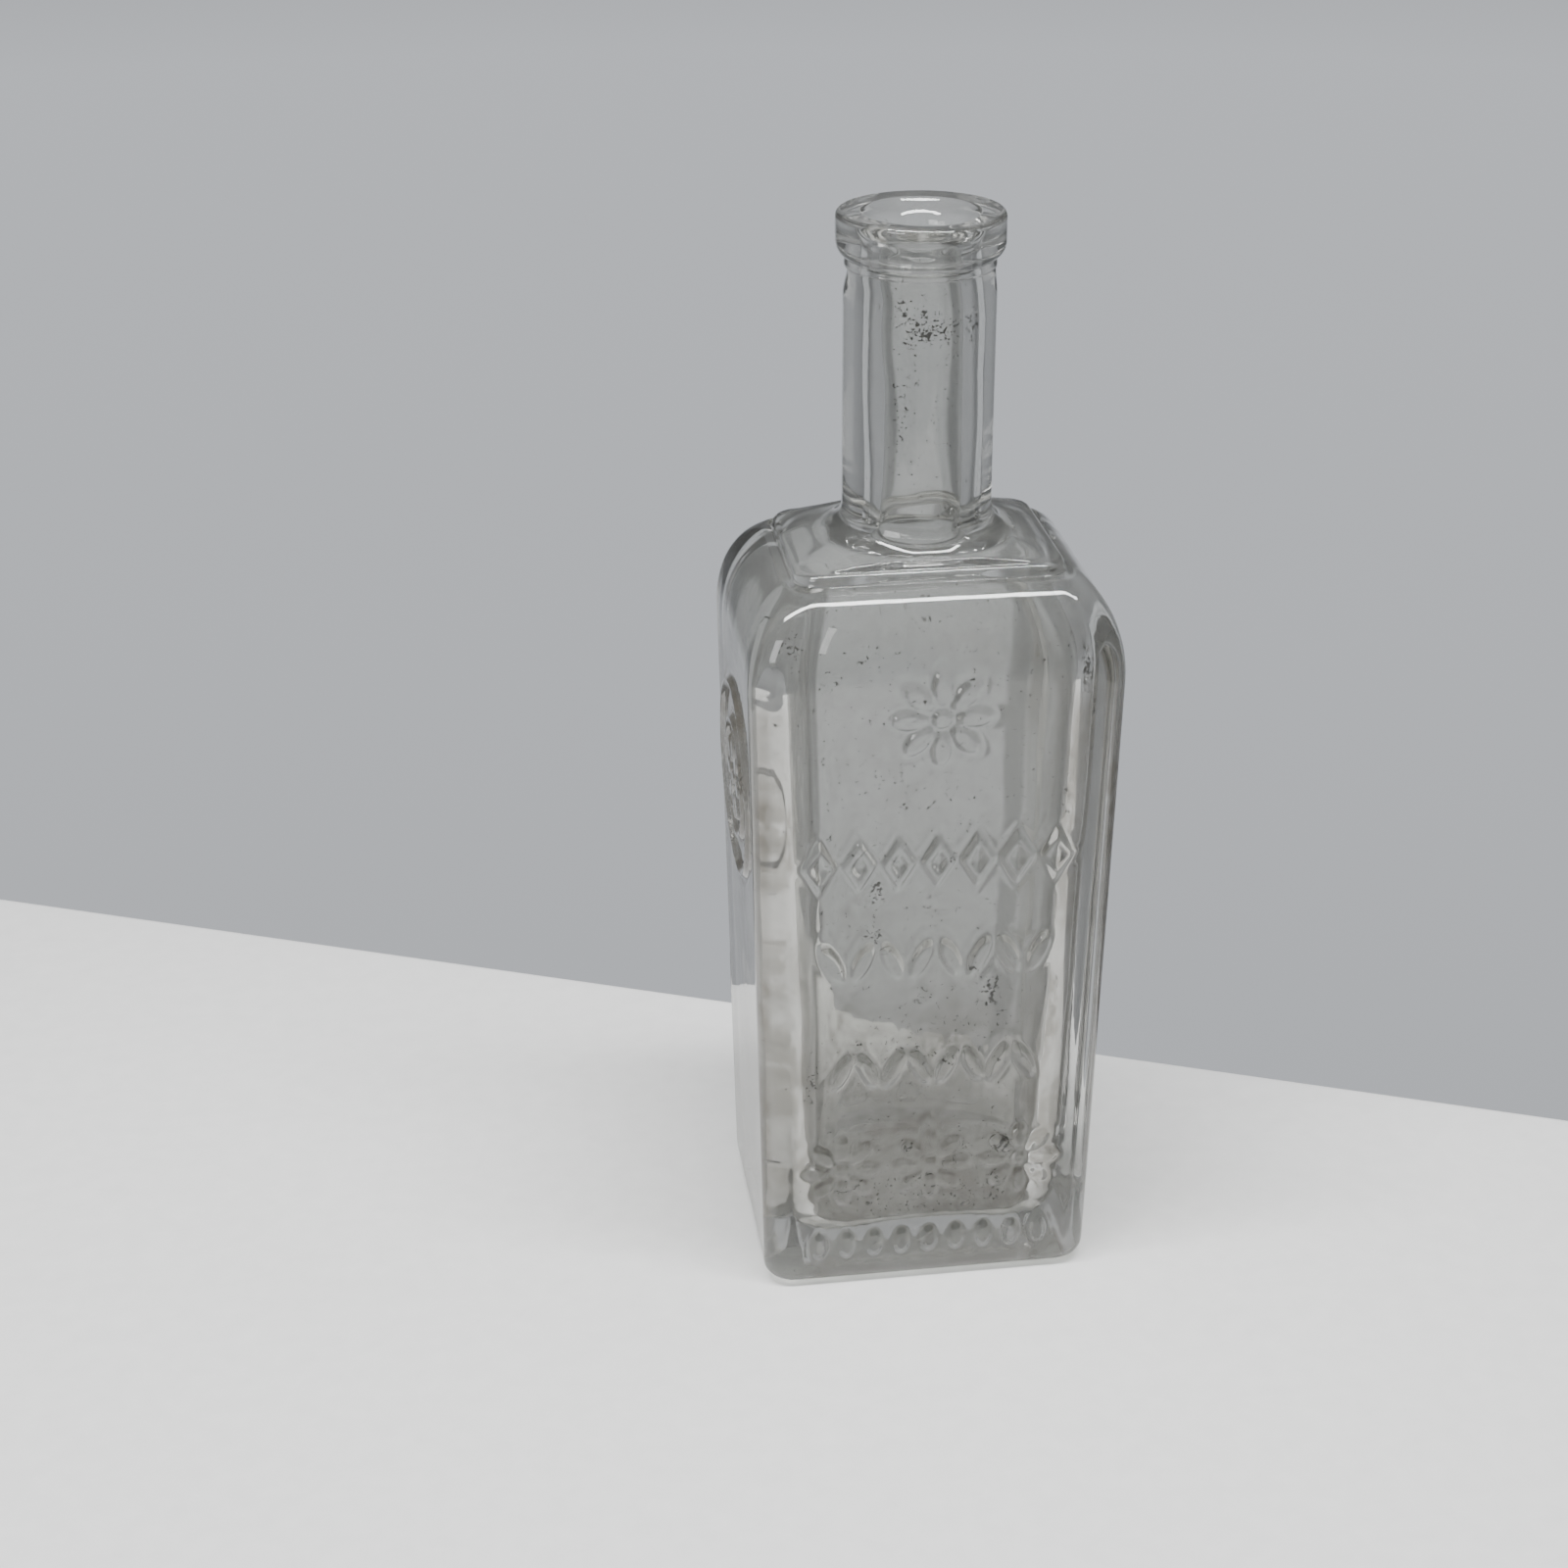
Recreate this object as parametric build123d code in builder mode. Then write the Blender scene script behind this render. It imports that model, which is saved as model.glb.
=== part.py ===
"""Small antique dressing-table bottle: a blown rectangular body with a tooled lip.

Units are millimetres. +Z is up, the embossed front panel faces -Y and the
medallion panel faces -X. The origin is the middle of the base, on the floor.
"""
import math
import os

from build123d import *

os.makedirs("parts", exist_ok=True)

# ---- driving dimensions ----------------------------------------------------
BASE_W = 49.6            # body width (X) where it stands
BASE_D = 40.8            # body depth (Y) where it stands
BODY_W = 53.4            # body width at the shoulder line
BODY_D = 44.4            # body depth at the shoulder line
SHOULDER_Z = 97.5        # height at which the sides start to turn in
SHOULDER_H = 14.2        # height of the outer shoulder curve
SHOULDER_IN = 7.2        # how far the shoulder curve comes in on each side
CORNER_R = 4.2           # plan radius of the body's upright corners
HEEL_R = 3.0             # rounding between the sides and the base

PLATE_STEP = 1.6         # upright edge of the raised plate on the shoulder
PLATE_RISE = 1.3         # rise of the plate from its edge to the neck
PLATE_CORNER_R = 3.6     # plan radius of the plate's corners

NECK_R = 10.6            # outside radius of the neck
NECK_LEN = 37.8          # from the top of the plate to the parting line
NECK_TOP_IN = 0.3        # how much the neck draws in under the parting line
NECK_TOP_LEN = 4.0       # length over which it draws in
NECK_FOOT_R = 3.2        # hollow rounding between the neck and the plate

BORE_R = 5.5             # straight bore of the neck
COLLAR_IN = 0.1          # how far the band of the tooled finish is inside the neck's radius
COLLAR_H = 1.4
FLANGE = 1.3             # how far the lip stands out over the band
LIP_UNDER_H = 2.2        # rounded underside of the lip
LIP_SIDE_H = 3.1         # upright side of the lip
LIP_EDGE_R = 0.9         # rounding at the top of the side
RIM_SLOPE = 0.25         # fall of the top face towards the bore
MOUTH_R = 8.3            # where the top face turns down into the mouth
MOUTH_DEPTH = 4.2        # depth over which the mouth narrows to the bore

WALL_HEEL = 3.7          # wall at the bottom of the cavity
WALL_TOP = 2.8           # wall at the shoulder line
FLOOR_T = 6.2            # glass under the cavity at its edge
FLOOR_ARCH = 5.5         # push-up in the middle of the floor
FLOOR_ARCH_R = 23.0      # radius at which the push-up meets the floor
FLOOR_R = 5.0            # rounding between the floor and the walls
CAVITY_CORNER_R = 9.0    # plan radius of the cavity's corners
DOME_H = 15.6            # cavity's domed shoulder
THROAT_R = 2.9           # rounding from the dome into the bore

RECESS_DEPTH = 1.1       # hollow under the base
RECESS_INSET = 6.5       # width of the ring that the bottle stands on

RELIEF = 0.45            # how far the ornament stands out
RELIEF_SINK = 0.6        # how far it is rooted in the glass
STROKE = 1.0             # width of the raised lines
ROSETTE_R = 7.2
SMALL_ROSETTE_R = 6.0
LOZENGE_W, LOZENGE_H = 4.7, 7.0
LEAF_L, LEAF_W = 6.6, 2.0
SPRIG_L, SPRIG_W = 6.4, 1.8
BEAD_W, BEAD_H = 2.4, 4.4
MEDALLION_MARGIN = 1.2   # clear width between the medallion and the rounded corners
MEDALLION_BAND = 8.0     # width of the ringed band round the medallion's rosette
# where each row lies: its share of the height up to the shoulder line, and its pitch as
# a share of the flat width of the panel
ROSETTE_AT = 0.966
LOZENGE_AT, LOZENGE_PITCH = 0.738, 0.138
LEAF_AT, LEAF_PITCH = 0.576, 0.104
SPRIG_AT, SPRIG_PITCH = 0.388, 0.095
SMALL_ROSETTE_AT, SMALL_ROSETTE_PITCH = 0.211, 0.325
BEAD_AT, BEAD_PITCH = 0.074, 0.102
MEDALLION_AT = 0.79

# ---- heights and slopes that follow from them --------------------------------
STEP_Z = SHOULDER_Z + SHOULDER_H
PLATE_EDGE_Z = STEP_Z + PLATE_STEP
PLATE_TOP_Z = PLATE_EDGE_Z + PLATE_RISE
PARTING_Z = PLATE_TOP_Z + NECK_LEN
TOTAL_H = PARTING_Z + COLLAR_H + LIP_UNDER_H + LIP_SIDE_H + LIP_EDGE_R
DOME_TOP_Z = SHOULDER_Z + DOME_H
FRONT_TILT = math.atan((BODY_D - BASE_D) / 2 / SHOULDER_Z)
SIDE_TILT = math.atan((BODY_W - BASE_W) / 2 / SHOULDER_Z)
PANEL_W = BASE_W - 2 * CORNER_R
MEDALLION_R = BASE_D / 2 - CORNER_R - MEDALLION_MARGIN


def panel_plane(face: str) -> Plane:
    """Return the plane of an outer panel, y along its height, z out of the glass.

    Args:
        face: "front" for the -Y panel or "side" for the -X panel.
    """
    if face == "front":
        return Plane(origin=(0, -BASE_D / 2, 0), x_dir=(1, 0, 0),
                     z_dir=(0, -math.cos(FRONT_TILT), -math.sin(FRONT_TILT)))
    return Plane(origin=(-BASE_W / 2, 0, 0), x_dir=(0, -1, 0),
                 z_dir=(-math.cos(SIDE_TILT), 0, -math.sin(SIDE_TILT)))


def row(count: int, pitch: float, level: float) -> list[tuple[float, float]]:
    """Return the centres of a row of motifs, from its shares of the front panel."""
    return [((i - (count - 1) / 2) * pitch * PANEL_W, level * SHOULDER_Z) for i in range(count)]


def rosette(radius: float) -> None:
    """Add an eight-petal rosette of the given radius to the current sketch."""
    Circle(radius * 0.2)
    with PolarLocations(radius * 0.64, 8):
        Ellipse(radius * 0.36, radius * 0.16)


# ---- cavity: the space inside the blown body -----------------------------------
floor_half_w = BASE_W / 2 - WALL_HEEL
floor_half_d = BASE_D / 2 - WALL_HEEL
top_half_w = BODY_W / 2 - WALL_TOP
top_half_d = BODY_D / 2 - WALL_TOP
dome_top_r = BORE_R + THROAT_R + 0.1  # flat top of the dome, which the rounding leaves
arch_r = (FLOOR_ARCH_R ** 2 + FLOOR_ARCH ** 2) / (2 * FLOOR_ARCH)

with BuildPart() as cavity:
    with BuildSketch(Plane.XY.offset(FLOOR_T)):
        RectangleRounded(2 * floor_half_w, 2 * floor_half_d, CAVITY_CORNER_R)
    with BuildSketch(Plane.XY.offset(SHOULDER_Z)):
        RectangleRounded(2 * top_half_w, 2 * top_half_d, CAVITY_CORNER_R)
    loft(ruled=True)
    fillet(cavity.edges().group_by(Axis.Z)[0], FLOOR_R)
    for turn in (0, 16, 32, 48, 64, 78, 90):
        share = math.cos(math.radians(turn))
        with BuildSketch(Plane.XY.offset(SHOULDER_Z + DOME_H * math.sin(math.radians(turn)))):
            half_w = dome_top_r + (top_half_w - dome_top_r) * share
            half_d = dome_top_r + (top_half_d - dome_top_r) * share
            corner = dome_top_r + (CAVITY_CORNER_R - dome_top_r) * share
            RectangleRounded(2 * half_w, 2 * half_d, min(corner, half_d - 0.01))
    loft()
    with Locations((0, 0, DOME_TOP_Z)):
        Cylinder(BORE_R, PARTING_Z - DOME_TOP_Z, align=(Align.CENTER, Align.CENTER, Align.MIN))
    throat = [edge for edge in cavity.edges().filter_by(GeomType.CIRCLE)
              if abs(edge.center().Z - DOME_TOP_Z) < 0.01 and edge.radius < BORE_R + 0.01]
    fillet(throat, THROAT_R)
    with Locations((0, 0, FLOOR_T + FLOOR_ARCH - arch_r)):
        Sphere(arch_r, mode=Mode.SUBTRACT)

# ---- bottle_body: everything below the parting line ------------------------------
with BuildPart() as bottle_body:
    with BuildSketch():
        RectangleRounded(BASE_W, BASE_D, CORNER_R)
    with BuildSketch(Plane.XY.offset(SHOULDER_Z)):
        RectangleRounded(BODY_W, BODY_D, CORNER_R)
    loft(ruled=True)
    fillet(bottle_body.edges().group_by(Axis.Z)[0], HEEL_R)
    for t in (0.0, 0.25, 0.5, 0.7, 0.86, 1.0):
        inset = SHOULDER_IN * (1 - math.sqrt(1 - (0.98 * t) ** 2)) / (1 - math.sqrt(1 - 0.98 ** 2))
        with BuildSketch(Plane.XY.offset(SHOULDER_Z + t * SHOULDER_H)):
            RectangleRounded(BODY_W - 2 * inset, BODY_D - 2 * inset, CORNER_R)
    loft()
    # raised plate: an upright step and a low hipped top that rises to the neck
    plate_w, plate_d = BODY_W - 2 * SHOULDER_IN - 0.8, BODY_D - 2 * SHOULDER_IN - 0.8
    with BuildSketch(Plane.XY.offset(STEP_Z - 1.0)):
        RectangleRounded(plate_w, plate_d, PLATE_CORNER_R)
    extrude(amount=PLATE_STEP + 1.0)
    with BuildSketch(Plane.XY.offset(PLATE_EDGE_Z)):
        RectangleRounded(plate_w, plate_d, PLATE_CORNER_R)
    with BuildSketch(Plane.XY.offset(PLATE_TOP_Z)):
        RectangleRounded(2 * NECK_R + 4, 2 * NECK_R + 2, PLATE_CORNER_R)
    loft(ruled=True)
    # neck, with a hollow rounding at its foot
    with BuildSketch(Plane.XZ):
        with BuildLine():
            Polyline((0, PARTING_Z), (NECK_R - NECK_TOP_IN, PARTING_Z),
                     (NECK_R, PARTING_Z - NECK_TOP_LEN), (NECK_R, PLATE_TOP_Z + NECK_FOOT_R))
            RadiusArc((NECK_R, PLATE_TOP_Z + NECK_FOOT_R),
                      (NECK_R + NECK_FOOT_R, PLATE_TOP_Z - 0.2), -NECK_FOOT_R * 1.06)
            Polyline((NECK_R + NECK_FOOT_R, PLATE_TOP_Z - 0.2),
                     (NECK_R + NECK_FOOT_R, PLATE_TOP_Z - 2), (0, PLATE_TOP_Z - 2), (0, PARTING_Z))
        make_face()
    revolve(axis=Axis.Z)
    # ornament on the front panel, from the top row to the bottom row
    with BuildSketch(panel_plane("front").offset(-RELIEF_SINK)):
        with Locations((0, ROSETTE_AT * SHOULDER_Z)):
            rosette(ROSETTE_R)
        for x, y in row(7, LOZENGE_PITCH, LOZENGE_AT):
            with Locations((x, y)):
                Polygon((0, LOZENGE_H / 2), (-LOZENGE_W / 2, 0), (0, -LOZENGE_H / 2),
                        (LOZENGE_W / 2, 0), align=None)
                Polygon((0, LOZENGE_H / 2 - 1.9 * STROKE), (-LOZENGE_W / 2 + 1.25 * STROKE, 0),
                        (0, -LOZENGE_H / 2 + 1.9 * STROKE), (LOZENGE_W / 2 - 1.25 * STROKE, 0),
                        align=None, mode=Mode.SUBTRACT)
        for n, (x, y) in enumerate(row(8, LEAF_PITCH, LEAF_AT)):
            with Locations(Location((x, y), 65 if n % 2 else 115)):
                Ellipse(LEAF_L / 2, LEAF_W / 2)
        for n, (x, y) in enumerate(row(8, SPRIG_PITCH, SPRIG_AT)):
            with Locations(Location((x, y), 115 if n % 2 else 65)):
                Ellipse(SPRIG_L / 2, SPRIG_W / 2)
        for x, y in row(3, SMALL_ROSETTE_PITCH, SMALL_ROSETTE_AT):
            with Locations((x, y)):
                rosette(SMALL_ROSETTE_R)
        with Locations(*row(9, BEAD_PITCH, BEAD_AT)):
            Ellipse(BEAD_W / 2, BEAD_H / 2)
    extrude(amount=RELIEF_SINK + RELIEF)
    # ringed medallion on the side panel
    with BuildSketch(panel_plane("side").offset(-RELIEF_SINK)):
        with Locations((0, MEDALLION_AT * SHOULDER_Z)):
            Circle(MEDALLION_R)
            Circle(MEDALLION_R - STROKE, mode=Mode.SUBTRACT)
            Circle(MEDALLION_R - 4 * STROKE)
            Circle(MEDALLION_R - 5 * STROKE, mode=Mode.SUBTRACT)
            rosette(MEDALLION_R - MEDALLION_BAND)
    extrude(amount=RELIEF_SINK + RELIEF)
    # hollow under the base, then the space inside
    with BuildSketch():
        RectangleRounded(BASE_W - 2 * RECESS_INSET, BASE_D - 2 * RECESS_INSET, CORNER_R)
    extrude(amount=RECESS_DEPTH, taper=45, mode=Mode.SUBTRACT)
    add(cavity.part, mode=Mode.SUBTRACT)
bottle_body.part.label = "bottle_body"

# ---- lip_finish: the tooled band and lip above the parting line --------------------
under_z = PARTING_Z + COLLAR_H
side_z = under_z + LIP_UNDER_H
edge_z = side_z + LIP_SIDE_H
collar_r, flare = NECK_R - COLLAR_IN, MOUTH_R - BORE_R
lip_r = collar_r + FLANGE
rim_z = TOTAL_H - RIM_SLOPE
mouth_z = rim_z - MOUTH_DEPTH

with BuildPart() as lip_finish:
    with BuildSketch(Plane.XZ):
        with BuildLine():
            Polyline((BORE_R, mouth_z), (BORE_R, PARTING_Z), (collar_r, PARTING_Z),
                     (collar_r, under_z))
            Bezier((collar_r, under_z), (collar_r + 0.75 * FLANGE, under_z + 0.2 * LIP_UNDER_H),
                   (lip_r, side_z - 0.45 * LIP_UNDER_H), (lip_r, side_z))
            Line((lip_r, side_z), (lip_r, edge_z))
            RadiusArc((lip_r, edge_z), (lip_r - LIP_EDGE_R, TOTAL_H), -LIP_EDGE_R)
            Line((lip_r - LIP_EDGE_R, TOTAL_H), (MOUTH_R, rim_z))
            Bezier((MOUTH_R, rim_z), (BORE_R + 0.75 * flare, rim_z - 0.25 * MOUTH_DEPTH),
                   (BORE_R, rim_z - 0.45 * MOUTH_DEPTH), (BORE_R, mouth_z))
        make_face()
    revolve(axis=Axis.Z)
lip_finish.part.label = "lip_finish"

# ---- report the sizes that follow, then write one file for each piece ---------------
space = cavity.part.volume + math.pi * BORE_R ** 2 * (TOTAL_H - PARTING_Z)  # less the flare
glass = bottle_body.part.volume + lip_finish.part.volume
print(f"height {TOTAL_H:.1f} mm, brimful {space / 1000:.1f} ml, glass {glass / 1000:.1f} cm3")
for name, piece in (("bottle_body", bottle_body), ("lip_finish", lip_finish)):
    box = piece.part.bounding_box()
    print(f"{name}: {len(piece.part.solids())} solid, x {box.min.X:.2f} to {box.max.X:.2f}, "
          f"y {box.min.Y:.2f} to {box.max.Y:.2f}, z {box.min.Z:.2f} to {box.max.Z:.2f}")
export_step(bottle_body.part, "parts/bottle_body.step")
export_step(lip_finish.part, "parts/lip_finish.step")
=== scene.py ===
"""Antique dressing-table bottle: clear blown glass, raised ornament, tooled lip."""
import logging
import math
from dataclasses import dataclass, field
from enum import Enum

import bpy
import numpy as np
from mathutils import Matrix, Vector


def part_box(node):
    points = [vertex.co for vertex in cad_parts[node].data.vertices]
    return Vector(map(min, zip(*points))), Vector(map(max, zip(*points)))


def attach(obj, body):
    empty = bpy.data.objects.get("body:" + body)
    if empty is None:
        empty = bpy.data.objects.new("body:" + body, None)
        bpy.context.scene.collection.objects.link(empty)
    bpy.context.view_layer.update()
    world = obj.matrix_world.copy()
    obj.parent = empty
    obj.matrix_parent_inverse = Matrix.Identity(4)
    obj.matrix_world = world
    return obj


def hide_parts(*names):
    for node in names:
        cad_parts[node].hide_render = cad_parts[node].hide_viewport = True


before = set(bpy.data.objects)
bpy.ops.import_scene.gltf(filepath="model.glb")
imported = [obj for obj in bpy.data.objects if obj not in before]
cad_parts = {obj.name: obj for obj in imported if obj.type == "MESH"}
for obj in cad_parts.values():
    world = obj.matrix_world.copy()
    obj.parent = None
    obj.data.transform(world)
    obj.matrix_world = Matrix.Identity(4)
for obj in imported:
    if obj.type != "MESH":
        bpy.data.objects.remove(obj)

LOG = logging.getLogger("bottle")
MM = 0.001
FULL_TURN = 2 * math.pi
QUARTER = math.pi / 2
PHASE = 6.283  # one turn, as the range of a random phase
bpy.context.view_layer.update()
PARTING_Z = float(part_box("bottle_body")[1][2]) / MM  # where the lip meets the neck


class Ends(Enum):
    """How the rows of a grid end."""

    RING = "the last row joins the first"
    POLES = "a fan closes the first and the last row"


# ---------------------------------------------------------------------------
# shapes on grids
# ---------------------------------------------------------------------------
def smooth(t: np.ndarray) -> np.ndarray:
    """Ease from 0 to 1: three t squared less two t cubed, held at both ends.

    Args:
        t: Any array.

    Returns:
        The eased array.
    """
    t = np.clip(t, 0.0, 1.0)
    return t * t * (3.0 - 2.0 * t)


def between(a: np.ndarray | float, b: np.ndarray | float, share: np.ndarray) -> np.ndarray:
    """Go a share of the way from one value to another.

    Args:
        a: Where the share is 0.
        b: Where the share is 1.
        share: The share.

    Returns:
        The values in between.
    """
    return a + (b - a) * share


def rounded_rectangle(theta: np.ndarray, half_w: np.ndarray, half_d: np.ndarray,
                      corner: np.ndarray) -> np.ndarray:
    """Distance from the axis to a rounded rectangle along each direction.

    The straight sides are half_w over the cosine and half_d over the sine, whichever
    is nearer. Past the start of a corner the ray meets the corner's circle instead:
    the ray's share of the centre plus the root of that share squared less the
    centre's distance squared plus the radius squared. With equal halves and a corner
    of the same size it is a circle.

    Args:
        theta: Directions, one for each column.
        half_w: Half widths, one for each row.
        half_d: Half depths, one for each row.
        corner: Plan radii, one for each row.

    Returns:
        Distances, rows by columns.
    """
    x = np.maximum(np.abs(np.cos(theta)), 1e-9)[None, :]
    y = np.maximum(np.abs(np.sin(theta)), 1e-9)[None, :]
    a, b, c = half_w[:, None], half_d[:, None], corner[:, None]
    flat = np.minimum(a / x, b / y)
    centre_x, centre_y = a - c, b - c
    share = x * centre_x + y * centre_y
    arc = share + np.sqrt(np.maximum(share ** 2 - centre_x ** 2 - centre_y ** 2 + c ** 2, 0.0))
    turning = (flat * x > centre_x) & (flat * y > centre_y)
    return np.where(turning, arc, flat)


def soft_max(a: np.ndarray, b: np.ndarray, blend: float) -> np.ndarray:
    """The larger of two surfaces, with a rounded valley between them.

    The sharp larger one is half of their sum and their distance. A root that also holds
    the blend takes the distance's place, so the valley is rounded. The lift that this
    adds fades out from one blend to two blends above the second surface.

    Args:
        a: The first surface.
        b: The second surface.
        blend: Width of the rounding.

    Returns:
        The blended surface.
    """
    gap = a - b
    rounded = np.sqrt(gap ** 2 + blend ** 2)
    lift = rounded - np.abs(gap)
    return (a + b + rounded) / 2 - lift / 2 * smooth((gap - blend) / blend)


@dataclass
class Levels:
    """Rows of a body's grid, gathered group by group."""

    groups: list[np.ndarray] = field(default_factory=list)

    def add(self, half_w: np.ndarray | float, half_d: np.ndarray | float,
            corner: np.ndarray | float, z: np.ndarray | float) -> None:
        """Add rows. A single number holds for all the rows of its group."""
        group = np.broadcast_arrays(half_w, half_d, corner, z)
        self.groups.append(np.stack(group, axis=-1).astype(float))

    def joined(self) -> np.ndarray:
        """Join the groups into rows of half width, half depth, corner radius and height."""
        return np.concatenate(self.groups)


def waves(theta: np.ndarray, z: np.ndarray, seed: int, turns: tuple[int, ...],
          length: float) -> np.ndarray:
    """Slow unevenness: a sum of sines round the axis and along it, between -1 and 1.

    Args:
        theta: Directions, one for each column.
        z: Heights in millimetres, one for each row.
        seed: Seed of the phases.
        turns: How many waves go once round, one term for each.
        length: Typical wave length along the axis, in millimetres.

    Returns:
        Values, rows by columns.
    """
    rng = np.random.default_rng(seed)
    total = np.zeros((len(z), len(theta)))
    for k in turns:
        pace = FULL_TURN / (length * rng.uniform(0.7, 1.4))
        total += np.sin(k * theta[None, :] + rng.uniform(0, PHASE)
                        + 0.8 * np.sin(pace * z[:, None] + rng.uniform(0, PHASE))) \
            * np.cos(pace * z[:, None] + rng.uniform(0, PHASE))
    return total / len(turns)


def bezier(a: tuple[float, float], b: tuple[float, float], c: tuple[float, float],
           d: tuple[float, float], count: int) -> np.ndarray:
    """Points along a cubic curve from a to d that leaves towards b and arrives from c.

    Args:
        a: Start.
        b: First handle.
        c: Second handle.
        d: End.
        count: How many points.

    Returns:
        Points, count by 2.
    """
    t = np.linspace(0, 1, count)[:, None]
    p, q, r, s = (np.array(v)[None, :] for v in (a, b, c, d))
    return (1 - t) ** 3 * p + 3 * (1 - t) ** 2 * t * q + 3 * (1 - t) * t ** 2 * r + t ** 3 * s


def closed_mesh(name: str, points: np.ndarray, ends: Ends) -> bpy.types.Object:
    """Turn a grid of points into a closed mesh object with smooth shading.

    Columns close round the axis. A ring also closes its last row onto its first;
    with poles, the first and the last row are capped by a fan to their mean point.

    Args:
        name: Name of the piece.
        points: Rows by columns by 3, in millimetres, rows running so that the
            normals point out of the glass.
        ends: How the rows end.

    Returns:
        The new object, at the origin.
    """
    rows, cols = points.shape[:2]
    ring = ends is Ends.RING
    verts = points.reshape(-1, 3)
    row = np.arange(rows if ring else rows - 1)[:, None]
    col = np.arange(cols)[None, :]
    after_col, after_row = (col + 1) % cols, (row + 1) % rows
    quads = np.stack(np.broadcast_arrays(row * cols + col, row * cols + after_col,
                                         after_row * cols + after_col,
                                         after_row * cols + col), axis=-1).reshape(-1, 4)
    loops, sizes = quads.reshape(-1), np.full(len(quads), 4)
    if not ring:
        first, last = len(verts), len(verts) + 1
        verts = np.vstack([verts, points[0].mean(axis=0), points[-1].mean(axis=0)])
        j, k = np.arange(cols), (np.arange(cols) + 1) % cols
        fan_a = np.stack([np.full(cols, first), k, j], axis=-1)
        top = (rows - 1) * cols
        fan_b = np.stack([np.full(cols, last), top + j, top + k], axis=-1)
        loops = np.concatenate([loops, fan_a.reshape(-1), fan_b.reshape(-1)])
        sizes = np.concatenate([sizes, np.full(2 * cols, 3)])
    mesh = bpy.data.meshes.new(name)
    mesh.vertices.add(len(verts))
    mesh.vertices.foreach_set("co", (verts * MM).astype(np.float32).reshape(-1))
    mesh.loops.add(len(loops))
    mesh.loops.foreach_set("vertex_index", loops.astype(np.int32))
    mesh.polygons.add(len(sizes))
    mesh.polygons.foreach_set("loop_start", np.concatenate([[0], np.cumsum(sizes)[:-1]])
                              .astype(np.int32))
    mesh.polygons.foreach_set("use_smooth", np.ones(len(sizes), dtype=bool))
    mesh.update(calc_edges=True)
    mesh.validate()
    piece = bpy.data.objects.new(name, mesh)
    bpy.context.collection.objects.link(piece)
    return piece


def fuse(piece: bpy.types.Object, columns: int, rows: tuple[int, ...],
         seam: bpy.types.Material) -> None:
    """Give the faces above some rows of a grid the seam's material.

    Args:
        piece: The piece, whose glass is already on it.
        columns: Columns of its grid.
        rows: Indices of the rows.
        seam: The material.
    """
    piece.data.materials.append(seam)
    index = np.zeros(len(piece.data.polygons), dtype=np.int32)
    for row in rows:
        index[row * columns:(row + 1) * columns] = 1
    piece.data.polygons.foreach_set("material_index", index)


def paint(piece: bpy.types.Object, name: str, values: np.ndarray) -> None:
    """Store one number for each point of a piece, padded with zero at the poles.

    Args:
        piece: The piece.
        name: Name of the attribute.
        values: Rows by columns.
    """
    flat = np.zeros(len(piece.data.vertices), dtype=np.float32)
    flat[:values.size] = values.reshape(-1)
    piece.data.attributes.new(name, "FLOAT", "POINT").data.foreach_set("value", flat)


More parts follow.
